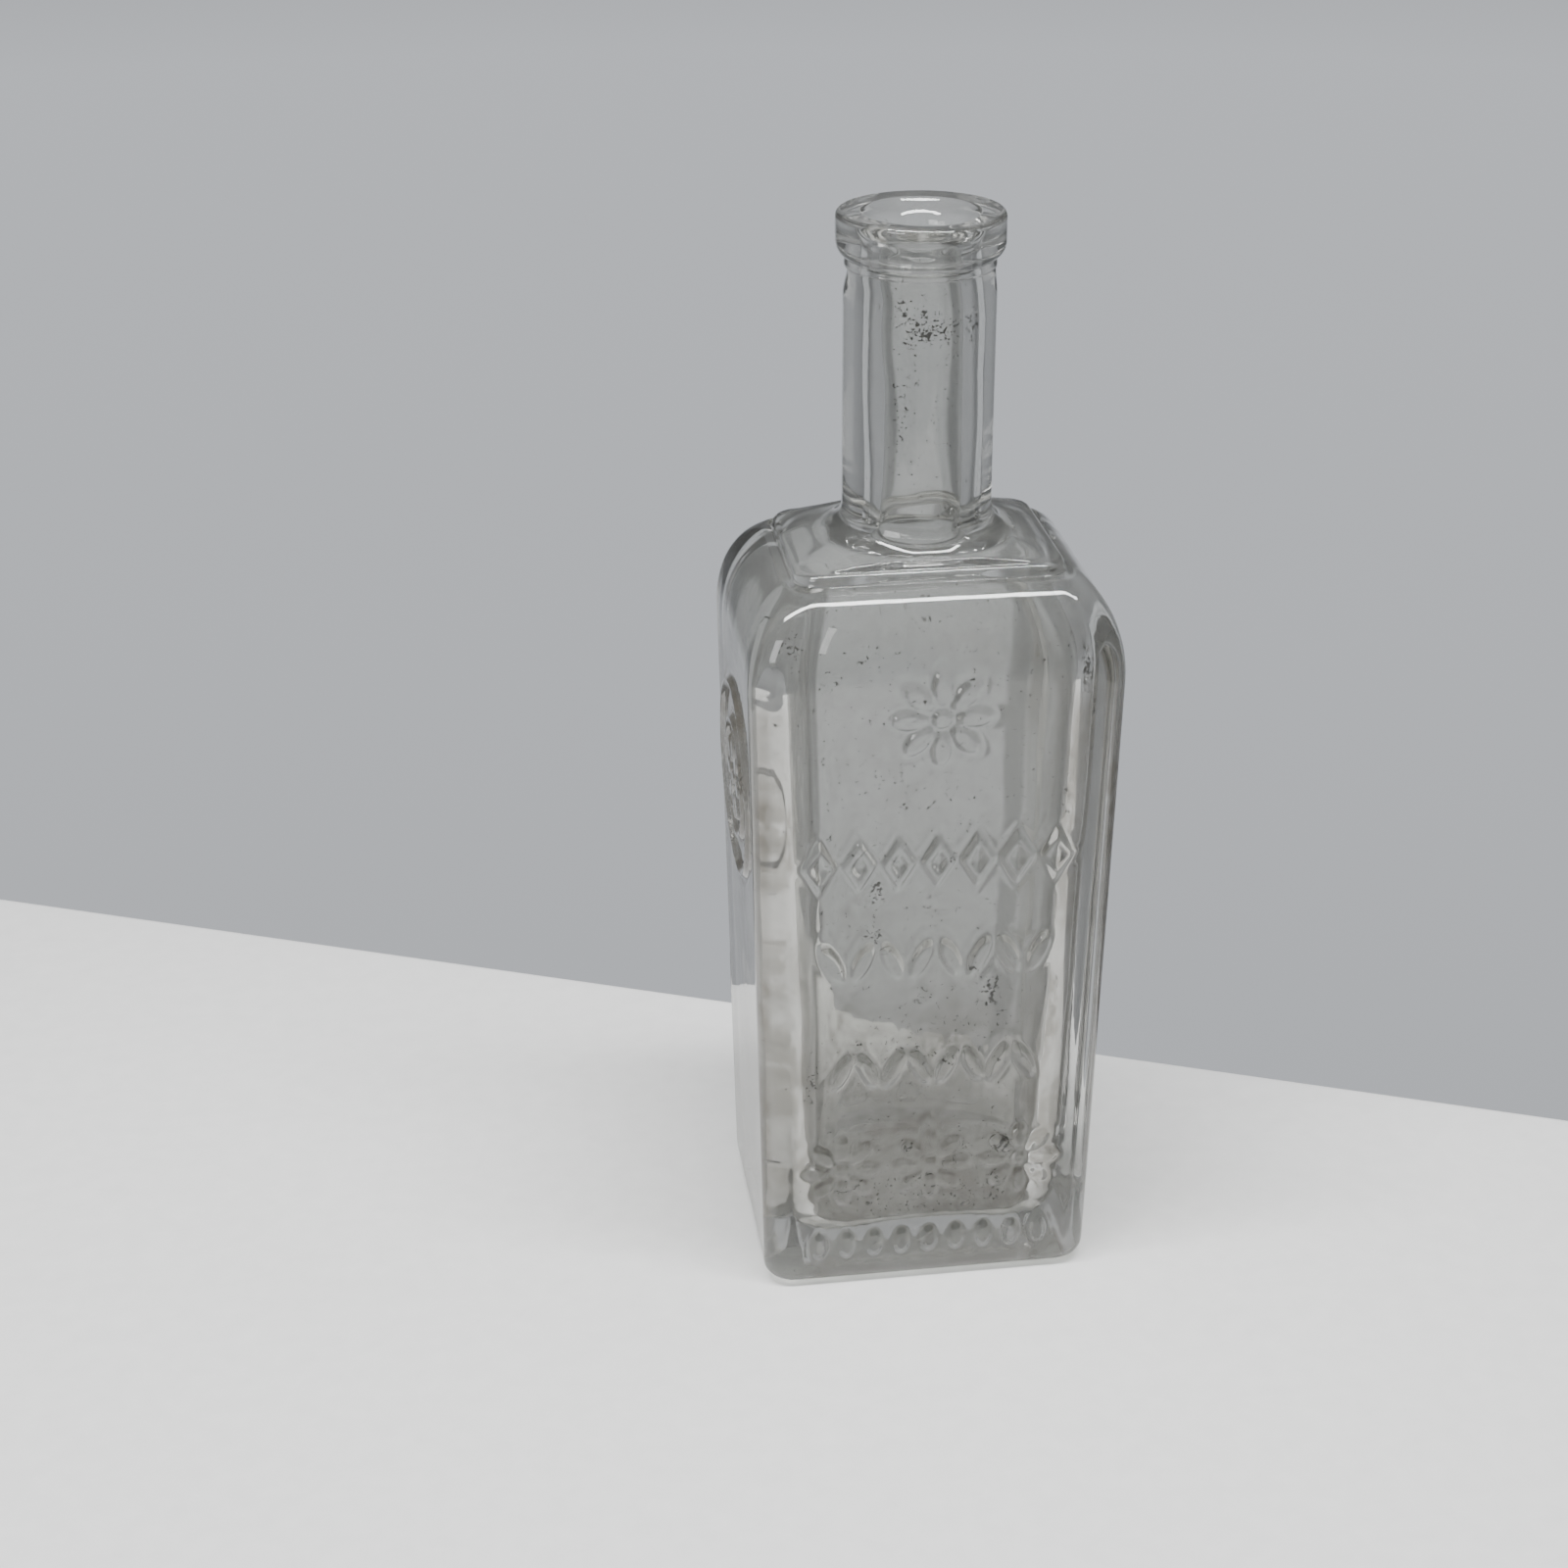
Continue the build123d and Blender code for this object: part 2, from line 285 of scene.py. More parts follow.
# ---------------------------------------------------------------------------
# raised ornament
# ---------------------------------------------------------------------------
@dataclass
class Ornament:
    """Raised rosettes, lozenges, leaves and beads. Sizes in millimetres."""

    relief: float = 0.6
    edge: float = 0.6
    stroke: float = 1.4
    rosette: tuple[float, float] = (7.2, 94.2)  # radius, level
    # count, width or length, height or width, level, pitch
    lozenges: tuple[int, float, float, float, float] = (7, 4.9, 7.2, 72.0, 5.7)
    leaves: tuple[int, float, float, float, float] = (8, 6.8, 2.5, 56.2, 4.3)
    sprigs: tuple[int, float, float, float, float] = (8, 6.6, 2.3, 37.8, 3.9)
    beads: tuple[int, float, float, float, float] = (9, 2.4, 4.4, 7.2, 4.2)
    small_rosettes: tuple[int, float, float, float] = (3, 6.0, 20.6, 13.4)  # the same, round
    medallion: tuple[float, float, float] = (15.0, 77.0, 7.0)  # radius, level, flower's radius

    def raised(self, inside: np.ndarray) -> np.ndarray:
        """Height of a motif: eased up from its outline, less a faint hollow along it."""
        hollow = np.exp(-((inside + 0.9 * self.edge) / (0.5 * self.edge)) ** 2)
        return self.relief * (smooth((inside + 0.25 * self.edge) / self.edge) - 0.22 * hollow)

    @staticmethod
    def places(count: int, pitch: float) -> list[float]:
        """Places of a row of motifs: each number less the middle one, times the pitch."""
        return [(i - (count - 1) / 2) * pitch for i in range(count)]

    @staticmethod
    def oval(x: np.ndarray, y: np.ndarray, a: float, b: float, lean: float = 0.0) -> np.ndarray:
        """Distance inside a leaning oval: one less its radius ratio, times its smaller half."""
        c, s = math.cos(math.radians(lean)), math.sin(math.radians(lean))
        return (1.0 - np.hypot((c * x + s * y) / a, (c * y - s * x) / b)) * min(a, b)

    def flower(self, x: np.ndarray, y: np.ndarray, radius: float) -> np.ndarray:
        """Distance inside an eight-petal rosette, by folding all petals onto one.

        Args:
            x: Across from its centre.
            y: Up from its centre.
            radius: Radius over the petals.

        Returns:
            Distance inside, negative outside.
        """
        rho, turn = np.hypot(x, y), np.arctan2(y, x)
        fold = (turn + math.pi / 8) % (math.pi / 4) - math.pi / 8
        petal = self.oval(rho * np.cos(fold) - 0.64 * radius, rho * np.sin(fold),
                          0.37 * radius, 0.2 * radius)
        return np.maximum(petal, 0.2 * radius - rho)

    def lozenge(self, x: np.ndarray, y: np.ndarray, width: float, height: float) -> np.ndarray:
        """Distance inside the raised line of a lozenge outline.

        Args:
            x: Across from its centre.
            y: Up from its centre.
            width: Width over the corners.
            height: Height over the corners.

        Returns:
            Distance inside the line, negative outside.
        """
        a, b = width / 2 - self.stroke / 2, height / 2 - self.stroke / 2
        off = (np.abs(x) / a + np.abs(y) / b - 1.0) * a * b / math.hypot(a, b)
        return self.stroke / 2 - np.abs(off)

    def front(self, x: np.ndarray, z: np.ndarray) -> np.ndarray:
        """Height of the ornament on the front panel.

        Args:
            x: Across, in millimetres.
            z: Up, in millimetres.

        Returns:
            Height over the panel.
        """
        radius, level = self.rosette
        inside = self.flower(x, z - level, radius)
        count, width, height, level, pitch = self.lozenges
        for at in self.places(count, pitch):
            inside = np.maximum(inside, self.lozenge(x - at, z - level, width, height))
        for flip, (count, length, width, level, pitch) in enumerate((self.leaves, self.sprigs)):
            for i, at in enumerate(self.places(count, pitch)):
                lean = 65 if (i + flip) % 2 else 115
                inside = np.maximum(inside, self.oval(x - at, z - level,
                                                      length / 2, width / 2, lean))
        count, radius, level, pitch = self.small_rosettes
        for at in self.places(count, pitch):
            inside = np.maximum(inside, self.flower(x - at, z - level, radius))
        count, width, height, level, pitch = self.beads
        for at in self.places(count, pitch):
            inside = np.maximum(inside, self.oval(x - at, z - level, width / 2, height / 2))
        return self.raised(inside)

    def side(self, y: np.ndarray, z: np.ndarray) -> np.ndarray:
        """Height of the ringed medallion on the side panel.

        Args:
            y: Across, in millimetres.
            z: Up, in millimetres.

        Returns:
            Height over the panel.
        """
        radius, level, petals = self.medallion
        rho = np.hypot(y, z - level)
        ring = self.stroke / 2 - np.abs(rho - radius + self.stroke / 2)
        inner = self.stroke / 2 - np.abs(rho - radius + 4.5 * self.stroke)
        flower = self.flower(y, z - level, petals)
        return self.raised(np.maximum(np.maximum(ring, inner), flower))


# ---------------------------------------------------------------------------
# finishes
# ---------------------------------------------------------------------------
@dataclass(frozen=True)
class ClearGlass:
    """Old clear glass, faintly grey, with haze, wear and dried specks inside.

    Noise scales are in waves per metre. A speck is where noise, lifted by the painted
    grime times a gain, is over a limit.
    """

    tint: tuple[float, float, float] = (0.80, 0.805, 0.785)
    shade: tuple[float, float, float] = (0.42, 0.43, 0.42)
    ior: float = 1.48
    # dark colour of the haze, which at the outer foot also serves as painted shade
    haze_and_shade_colour: tuple[float, float, float] = (0.20, 0.185, 0.155)
    residue: tuple[float, float, float] = (0.02, 0.018, 0.014)
    crumbs: tuple[tuple[float, float, float], ...] = (  # scale, gain, limit
        (1200, 0.265, 0.80), (2400, 0.28, 0.80))
    threads: tuple[float, float, float] = (1200, 0.30, 0.72)  # the same
    crossing: tuple[float, float, float] = (900, 0.47, 0.014)  # scale, level, reach
    clouds: tuple[tuple[float, float, float, float], ...] = (  # scale, detail, low, high
        (75, 4, 0.42, 0.72), (420, 5, 0.3, 0.75))
    rubbing: tuple[float, float, float, float] = (160, 5, 0.56, 0.8)  # the same
    ripple: tuple[float, float] = (0.22, 0.0002)  # strength, distance

    def build(self) -> bpy.types.Material:
        """Make the material.

        Returns:
            The material.
        """
        mat = bpy.data.materials.new("clear_glass")
        mat.use_nodes = True
        tree = mat.node_tree
        tree.nodes.clear()
        new, link = tree.nodes.new, tree.links.new
        out = new("ShaderNodeOutputMaterial")
        shader = new("ShaderNodeBsdfPrincipled")
        shader.inputs["IOR"].default_value = self.ior
        # lamps shine through the glass, so that what is under and inside it is lit
        through, mix = new("ShaderNodeBsdfTransparent"), new("ShaderNodeMixShader")
        through.inputs["Color"].default_value = (*self.shade, 1)
        link(new("ShaderNodeLightPath").outputs["Is Shadow Ray"], mix.inputs["Fac"])
        link(shader.outputs["BSDF"], mix.inputs[1])
        link(through.outputs[0], mix.inputs[2])
        link(mix.outputs[0], out.inputs["Surface"])
        place = new("ShaderNodeTexCoord").outputs["Object"]

        def noise(scale: float, detail: float) -> bpy.types.NodeSocket:
            """Add a noise texture over the piece's own coordinates.

            Args:
                scale: Waves per metre.
                detail: How many finer layers it has.

            Returns:
                Its value, about 0.5 on average.
            """
            node = new("ShaderNodeTexNoise")
            node.inputs["Scale"].default_value = scale
            node.inputs["Detail"].default_value = detail
            link(place, node.inputs["Vector"])
            return node.outputs["Fac"]

        def maths(kind: str, a: bpy.types.NodeSocket | float,
                  b: bpy.types.NodeSocket | float = 0.0, c: float = 0.0
                  ) -> bpy.types.NodeSocket:
            """Add a maths node whose result is held between 0 and 1.

            Args:
                kind: Name of the operation.
                a: First socket or number.
                b: Second socket or number.
                c: Third number.

            Returns:
                The result.
            """
            node = new("ShaderNodeMath")
            node.operation, node.use_clamp = kind, True
            for slot, value in zip(node.inputs, (a, b, c)):
                if isinstance(value, (int, float)):
                    slot.default_value = value
                else:
                    link(value, slot)
            return node.outputs[0]

        def spread(value: bpy.types.NodeSocket, low: float, high: float
                   ) -> bpy.types.NodeSocket:
            """Stretch a range to 0 to 1, held at both ends.

            Args:
                value: The socket.
                low: What becomes 0.
                high: What becomes 1.

            Returns:
                The stretched value.
            """
            node = new("ShaderNodeMapRange")
            node.inputs["From Min"].default_value = low
            node.inputs["From Max"].default_value = high
            link(value, node.inputs["Value"])
            return node.outputs["Result"]

        def patches(scale: float, detail: float, low: float, high: float
                    ) -> bpy.types.NodeSocket:
            """Make soft patches: noise stretched from low to high.

            Args:
                scale: Waves per metre.
                detail: How many finer layers the noise has.
                low: What becomes 0.
                high: What becomes 1.

            Returns:
                The patches.
            """
            return spread(noise(scale, detail), low, high)

        def attribute(name: str) -> bpy.types.NodeSocket:
            """Read a painted attribute.

            Args:
                name: Its name.

            Returns:
                Its value.
            """
            node = new("ShaderNodeAttribute")
            node.attribute_name = name
            return node.outputs["Fac"]

        grime = attribute("grime")

        def lifted(scale: float, gain: float, limit: float) -> bpy.types.NodeSocket:
            """Tell where noise, lifted by the grime, is over a limit.

            Args:
                scale: Waves per metre.
                gain: How much full grime lifts it.
                limit: The limit.

            Returns:
                One over the limit, else zero.
            """
            level = maths("ADD", noise(scale, 2), maths("MULTIPLY", grime, gain))
            return maths("GREATER_THAN", level, limit)

        # specks: crumbs where fine noise peaks, and threads where coarser noise crosses
        # a level near its mean
        crumb = maths("MAXIMUM", *(lifted(*crumb) for crumb in self.crumbs))
        scale, level, reach = self.crossing
        crossing = maths("COMPARE", noise(scale, 2), level, reach)
        speck = maths("MAXIMUM", crumb, maths("MULTIPLY", crossing, lifted(*self.threads)))
        # haze: cloudy patches, broken by two sizes of noise; at the outer foot the haze is painted
        # shade
        cloud = maths("MULTIPLY", *(patches(*stops) for stops in self.clouds))
        # the haze attribute holds real haze and, at the outer foot, painted shade that darkens
        # towards the haze colour
        haze_and_foot_shade = attribute("haze")
        haze = maths("ADD", maths("MULTIPLY", haze_and_foot_shade, 0.5), maths("MULTIPLY", cloud, haze_and_foot_shade))
        solid = maths("MAXIMUM", speck, haze)
        link(maths("SUBTRACT", 1.0, solid), shader.inputs["Transmission Weight"])
        tone = new("ShaderNodeMix")
        tone.data_type = "RGBA"
        tone.inputs["A"].default_value = (*self.tint, 1)
        tone.inputs["B"].default_value = (*self.haze_and_shade_colour, 1)
        link(maths("MULTIPLY", haze, 3.0), tone.inputs["Factor"])
        dark = new("ShaderNodeMix")
        dark.data_type = "RGBA"
        link(tone.outputs["Result"], dark.inputs["A"])
        dark.inputs["B"].default_value = (*self.residue, 1)
        link(speck, dark.inputs["Factor"])
        link(dark.outputs["Result"], shader.inputs["Base Color"])
        # roughness: nearly none, more in cloudy patches, where hands rubbed and on specks
        rub = patches(*self.rubbing)
        rough = maths("ADD", maths("MULTIPLY", rub, 0.05), maths("MULTIPLY", cloud, 0.04))
        link(maths("MAXIMUM", rough, maths("MULTIPLY", speck, 0.9)), shader.inputs["Roughness"])
        # faint ripples left by the mould and by cooling
        bump = new("ShaderNodeBump")
        strength, distance = self.ripple
        bump.inputs["Strength"].default_value = strength
        bump.inputs["Distance"].default_value = distance
        link(noise(120, 3), bump.inputs["Height"])
        link(bump.outputs["Normal"], shader.inputs["Normal"])
        return mat


@dataclass(frozen=True)
class FusedSeam:
    """Inside the glass, where the lip is fused to the neck: it shows nothing at all."""

    def build(self) -> bpy.types.Material:
        """Make the material.

        Returns:
            The material.
        """
        mat = bpy.data.materials.new("fused_seam")
        mat.use_nodes = True
        tree = mat.node_tree
        tree.nodes.clear()
        out = tree.nodes.new("ShaderNodeOutputMaterial")
        tree.links.new(tree.nodes.new("ShaderNodeBsdfTransparent").outputs[0],
                       out.inputs["Surface"])
        return mat


@dataclass(frozen=True)
class PaleFloor:
    """Plain pale studio floor with a faint even grain."""

    light: tuple[float, float, float] = (0.78, 0.78, 0.77)
    dark: tuple[float, float, float] = (0.68, 0.68, 0.675)

    def build(self) -> bpy.types.Material:
        """Make the material.

        Returns:
            The material.
        """
        mat = bpy.data.materials.new("pale_floor")
        mat.use_nodes = True
        tree = mat.node_tree
        shader = tree.nodes["Principled BSDF"]
        shader.inputs["Roughness"].default_value = 0.9
        grain = tree.nodes.new("ShaderNodeTexNoise")
        grain.inputs["Scale"].default_value = 260
        grain.inputs["Detail"].default_value = 6
        tree.links.new(tree.nodes.new("ShaderNodeTexCoord").outputs["Object"],
                       grain.inputs["Vector"])
        mix = tree.nodes.new("ShaderNodeMix")
        mix.data_type = "RGBA"
        mix.inputs["A"].default_value = (*self.dark, 1)
        mix.inputs["B"].default_value = (*self.light, 1)
        tree.links.new(grain.outputs["Fac"], mix.inputs["Factor"])
        tree.links.new(mix.outputs["Result"], shader.inputs["Base Color"])
        return mat


# ---------------------------------------------------------------------------
# the blown body
# ---------------------------------------------------------------------------
@dataclass
class BlownBody:
    """Body, shoulder plate and neck up to the parting line. Sizes in millimetres."""

    base: tuple[float, float] = (49.6, 40.8)  # width, depth
    widest: tuple[float, float] = (53.4, 44.4)  # width, depth, under the shoulder
    shoulder_z: float = 97.5
    shoulder_h: float = 14.2
    shoulder_in: float = 7.2
    corner: float = 4.2
    heel: float = 3.0
    plate_step: float = 1.6
    plate_rise: float = 1.3
    plate_corner: float = 3.6
    neck_r: float = 10.6
    neck_foot: tuple[float, float] = (5.0, 3.0)  # how far it spreads across, in depth
    foot_h: float = 4.0
    neck_top_in: float = 0.3
    neck_top_len: float = 4.0
    seam_in: float = 0.5
    bore: float = 5.5
    wall_heel: float = 3.7
    wall_top: float = 2.8
    floor_t: float = 6.2
    floor_arch: float = 5.5
    floor_arch_r: float = 23.0
    floor_r: float = 5.0
    cavity_corner: float = 9.0
    dome_h: float = 15.6
    throat_r: float = 3.0
    recess: float = 1.1
    recess_inset: float = 6.5
    recess_slope: float = 0.16  # as a share of the way to the middle
    shoulder_cut: float = 0.98
    plate_groove: tuple[tuple[float, float], ...] = ((-0.12, -0.14), (-0.3, -0.06), (-0.42, 0.3))
    plate_rim: tuple[float, float, float] = (1.1, 1.55, 0.5)  # radius, centre in, centre up
    rim_in: float = 1.4
    foot_square: float = 3.0
    foot_sink: float = 0.2
    floor_blend: float = 0.8
    panel_sink: tuple[float, float] = (0.2, 0.22)  # narrow panels, wide panels
    bore_off: float = 0.5
    drawn_in: float = 0.4
    uneven: float = 0.32
    row_spans: tuple[tuple[float, float, int], ...] = (  # from, to, how many
        (3.6, 10.4, 16), (11.6, 13.2, 2), (14.2, 27.2, 31), (28.6, 33.0, 3),
        (34.2, 41.4, 18), (43.5, 51.5, 4), (52.6, 60.0, 18), (60.9, 97.0, 82))
    spots: tuple[tuple[float, ...], ...] = (  # x, y, z, size across, size up, strength
        (-3.4, -5.0, 149.6, 1.5, 2.0, 1.0), (-1.8, -5.0, 147.0, 2.0, 1.6, 1.0),
        (0.2, -5.0, 144.6, 3.0, 1.8, 1.0), (-3.8, -5.0, 142.4, 1.3, 1.6, 1.0),
        (5.5, -3.0, 145.0, 1.6, 4.0, 0.8), (-3.0, -5.0, 134.0, 1.6, 8.0, 0.6),
        (21.5, -16.5, 99.0, 1.6, 4.5, 1.0), (22.8, -14.1, 90.0, 1.2, 7.0, 0.8),
        (-21.0, -16.8, 104.0, 2.5, 2.5, 0.8), (-8.4, -18.5, 66.6, 1.0, 1.5, 1.0),
        (-8.8, -18.3, 60.0, 1.4, 0.9, 1.0), (8.6, -18.0, 49.5, 1.4, 1.0, 1.0),
        (14.6, -19.0, 85.0, 1.1, 1.0, 1.0), (19.0, -17.6, 80.0, 1.2, 6.0, 0.7),
        (4.0, -18.7, 78.0, 1.4, 1.2, 0.9), (11.5, -17.1, 21.0, 1.9, 2.4, 1.0),
        (10.4, -16.4, 15.0, 1.4, 2.8, 1.0), (-18.0, -17.0, 34.0, 1.4, 6.0, 0.8),
        (-1.5, -17.2, 23.0, 1.0, 0.8, 1.0), (0.0, -16.9, 14.0, 20.0, 7.0, 0.5),
        (0.0, -17.8, 40.0, 16.0, 12.0, 0.36), (2.0, -19.0, 85.0, 18.0, 14.0, 0.28))
    ornament: Ornament = field(default_factory=Ornament)

    def directions(self) -> np.ndarray:
        """Directions of the columns: evenly spaced on each panel, densest where ornament is.

        Returns:
            Angles about the axis, rising, in radians.
        """
        a = (self.base[0] + self.widest[0]) / 4
        b = (self.base[1] + self.widest[1]) / 4
        c = self.corner
        turn = np.linspace(0, QUARTER, 9)[:-1] + math.pi / 32
        side_x, side_y = a - c, b - c

        def spaced(half: float, dense: float, count: int, few: int) -> np.ndarray:
            """Place columns along a side, close together about its middle.

            Args:
                half: Half the side.
                dense: How far from the middle they are close together.
                count: How many are close together.
                few: How many more there are on each end.

            Returns:
                Places along the side.
            """
            rim = np.linspace(dense, half, few + 1)[1:]
            return np.concatenate([-rim[::-1], np.linspace(-dense, dense, count), rim])

        front = spaced(side_x, 20.0, 112, 2)
        right = np.linspace(-side_y, side_y, 18)
        back = np.linspace(side_x, -side_x, 22)
        left = spaced(side_y, 15.4, 66, 2)[::-1]
        parts = [
            (front, np.full(len(front), -b)),
            (side_x + c * np.sin(turn), -side_y - c * np.cos(turn)),
            (np.full(len(right), a), right),
            (side_x + c * np.cos(turn), side_y + c * np.sin(turn)),
            (back, np.full(len(back), b)),
            (-side_x - c * np.sin(turn), side_y + c * np.cos(turn)),
            (np.full(len(left), -a), left),
            (-side_x - c * np.cos(turn), -side_y - c * np.sin(turn)),
        ]
        x = np.concatenate([p[0] for p in parts])
        y = np.concatenate([p[1] for p in parts])
        return np.unwrap(np.arctan2(y, x))

    def halves(self, z: np.ndarray) -> tuple[np.ndarray, np.ndarray]:
        """Outer half width and half depth, growing evenly from the base to the shoulder."""
        share = z / self.shoulder_z
        return tuple(between(low, high, share) / 2 for low, high in zip(self.base, self.widest))

    def outside(self) -> np.ndarray:
        """Rows of the outer surface from the middle of the base to the parting line.

        Returns:
            Rows of half width, half depth, corner radius and height.
        """
        levels = Levels()
        # hollow under the base, then the ring that it stands on
        hollow_w = self.base[0] / 2 - self.recess_inset
        hollow_d = self.base[1] / 2 - self.recess_inset
        share = np.array([0.08, 0.25, 0.45, 0.65, 0.8, 0.88, 0.94, 1.0])
        levels.add(hollow_w * share, hollow_d * share, self.corner * share,
                   self.recess * smooth((1.0 - share) / self.recess_slope))
        heel_w, heel_d = self.base[0] / 2 - self.heel, self.base[1] / 2 - self.heel
        share = np.array([0.35, 0.7])
        levels.add(between(hollow_w, heel_w, share), between(hollow_d, heel_d, share),
                   self.corner * 0.9, 0.0)
        # heel: a quarter round, on which the plan corners get tighter
        turn = np.linspace(0, QUARTER, 8)
        z = self.heel * (1 - np.cos(turn))
        half_w, half_d = self.halves(z)
        inset = self.heel * (1 - np.sin(turn))
        levels.add(half_w - inset, half_d - inset,
                   np.maximum(self.corner - inset * 0.6, self.heel / 2), z)
        # sides: rows close together where ornament is
        z = np.concatenate([np.linspace(*span) for span in self.row_spans])
        levels.add(*self.halves(z), self.corner, z)
        # shoulder: each side comes in along an ellipse, cut off just before it is level
        share = np.linspace(0, 1, 27)[1:]
        cut = self.shoulder_cut
        inset = self.shoulder_in * (1 - np.sqrt(1 - (cut * share) ** 2)) \
            / (1 - math.sqrt(1 - cut ** 2))
        wide, deep = self.widest[0] / 2, self.widest[1] / 2
        levels.add(wide - inset, deep - inset, self.corner,
                   self.shoulder_z + share * self.shoulder_h)
        # raised plate: groove at its foot, rounded rim, then up to the neck
        wide, deep = wide - self.shoulder_in, deep - self.shoulder_in
        plate_z = self.shoulder_z + self.shoulder_h
        radius, centre_in, centre_up = self.plate_rim
        turn = np.linspace(0.15, 1.4, 7)
        rim = np.stack([radius * np.cos(turn) - centre_in, centre_up + radius * np.sin(turn)],
                       axis=-1)
        steps = np.concatenate([np.array(self.plate_groove), rim])
        levels.add(wide + steps[:, 0], deep + steps[:, 0], self.plate_corner,
                   plate_z + steps[:, 1])
        foot_w, foot_d = self.neck_r + self.neck_foot[0], self.neck_r + self.neck_foot[1]
        foot_corner = foot_d - self.foot_square
        foot_z = plate_z + self.plate_step + self.plate_rise - self.foot_sink
        share = np.array([0.2, 0.4, 0.6, 0.8])
        levels.add(between(wide - self.rim_in, foot_w, share),
                   between(deep - self.rim_in, foot_d, share),
                   between(self.plate_corner, foot_corner, share),
                   between(plate_z + self.plate_step, foot_z, share))
        # hollow rounding at the neck's foot, from a soft rectangle to the round neck
        turn = np.linspace(0, QUARTER, 12)
        share = np.sin(turn)
        foot_rise = self.foot_h + self.foot_sink
        levels.add(between(foot_w, self.neck_r, share), between(foot_d, self.neck_r, share),
                   between(foot_corner, self.neck_r, share),
                   foot_z + foot_rise * (1 - np.cos(turn)))
        # neck, drawing in a little under the parting line
        top_start = PARTING_Z - self.neck_top_len
        z = np.concatenate([np.linspace(foot_z + foot_rise + 2, top_start, 12),
                            np.linspace(top_start, PARTING_Z - 0.12, 6)[1:]])
        r = self.neck_r - self.neck_top_in * smooth((z - top_start) / self.neck_top_len)
        levels.add(r, r, r, z)
        r = self.neck_r - self.neck_top_in - np.array([0.04, self.seam_in])
        levels.add(r, r, r, PARTING_Z)
        return levels.joined()

    def inside(self) -> np.ndarray:
        """Rows of the inner surface from the parting line down to the middle of the floor.

        Returns:
            Rows of half width, half depth, corner radius and height.
        """
        levels = Levels()
        throat, top = self.bore + self.throat_r, self.shoulder_z + self.dome_h
        z = np.concatenate([[PARTING_Z],
                            np.linspace(PARTING_Z - 0.4, top + self.throat_r + 0.5, 11)])
        levels.add(self.bore, self.bore, self.bore, z)
        # throat: a rounding from the bore out to the dome
        turn = np.linspace(QUARTER, 0, 10)
        r = throat - self.throat_r * np.sin(turn)
        levels.add(r, r, r, top + self.throat_r * (1 - np.cos(turn)))
        # dome: each side comes in along a quarter of an ellipse
        turn = np.linspace(QUARTER, 0, 31)[1:]
        share = np.cos(turn)
        wide, deep = self.widest[0] / 2 - self.wall_top, self.widest[1] / 2 - self.wall_top
        levels.add(between(throat, wide, share), between(throat, deep, share),
                   between(throat, self.cavity_corner, share),
                   self.shoulder_z + self.dome_h * np.sin(turn))
        # walls
        low_w, low_d = self.base[0] / 2 - self.wall_heel, self.base[1] / 2 - self.wall_heel
        z = np.linspace(self.shoulder_z, self.floor_t + self.floor_r, 26)[1:]
        share = (z - self.floor_t) / (self.shoulder_z - self.floor_t)
        levels.add(between(low_w, wide, share), between(low_d, deep, share),
                   self.cavity_corner, z)
        # rounding into the floor, then the floor, which the body arches
        turn = np.linspace(0, QUARTER, 8)[1:]
        inset = self.floor_r * (1 - np.cos(turn))
        levels.add(low_w - inset, low_d - inset, self.cavity_corner - inset * 0.5,
                   self.floor_t + self.floor_r * (1 - np.sin(turn)))
        share = np.array([0.93, 0.84, 0.72, 0.58, 0.43, 0.28, 0.12])
        levels.add((low_w - self.floor_r) * share, (low_d - self.floor_r) * share,
                   (self.cavity_corner - 0.5 * self.floor_r) * share, self.floor_t)
        return levels.joined()

    def build(self, glass: bpy.types.Material, seam: bpy.types.Material) -> bpy.types.Object:
        """Build the closed glass body.

        Args:
            glass: The material.
            seam: The material of the face under the lip.

        Returns:
            The piece.
        """
        theta = self.directions()
        outer, inner = self.outside(), self.inside()
        rows = np.concatenate([outer, inner])
        half_w, half_d, z = rows[:, 0], rows[:, 1], rows[:, 3]
        r = rounded_rectangle(theta, half_w, half_d, rows[:, 2])
        x, y = r * np.cos(theta), r * np.sin(theta)
        level = np.repeat(z[:, None], len(theta), axis=1)
        count = len(outer)
        out = np.zeros_like(r)
        out[:count] = 1.0
        # each panel sinks a little between its corners, as one less its share squared
        panel = (smooth(z / 6.0) * smooth((self.shoulder_z + 8 - z) / 8))[:, None] * out
        wide, deep = np.maximum(half_w, 1.0)[:, None], np.maximum(half_d, 1.0)[:, None]
        sink_y = (np.abs(y) >= deep * 0.999) * np.clip(1 - (x / wide) ** 2, 0, 1) * panel
        sink_x = (np.abs(x) >= wide * 0.999) * np.clip(1 - (y / deep) ** 2, 0, 1) * panel
        y = y - np.sign(y) * self.panel_sink[1] * sink_y
        x = x - np.sign(x) * self.panel_sink[0] * sink_x
        # the floor is pushed up in the middle
        arch = self.floor_arch * (1 - (x ** 2 + y ** 2) / self.floor_arch_r ** 2)
        low = (out == 0) & (level < self.floor_t + 3 * self.floor_r)
        level = np.where(low, soft_max(level, self.floor_t + arch, self.floor_blend), level)
        # the bore runs a little off the axis, and the neck draws in on one side at its top
        off = smooth((z - 104) / 16) * smooth((PARTING_Z - z) / 6)
        x = x + self.bore_off * off[:, None] * (1 - out)
        drawn = smooth((z - PARTING_Z + self.neck_top_len) / self.neck_top_len)[:, None] \
            * (np.arange(len(z)) < count - 1)[:, None] * out * smooth(-np.cos(theta))[None, :]
        x = x + self.drawn_in * drawn
        # the inside is uneven, less near the floor and the parting line
        uneven = waves(theta, z, 7, (1, 2, 3, 4), 34.0) * (1 - out)
        uneven *= (smooth((z - 9) / 14) * smooth((PARTING_Z - z) / 8))[:, None]
        swell = self.uneven * uneven
        x, y = x + swell * np.cos(theta), y + swell * np.sin(theta)
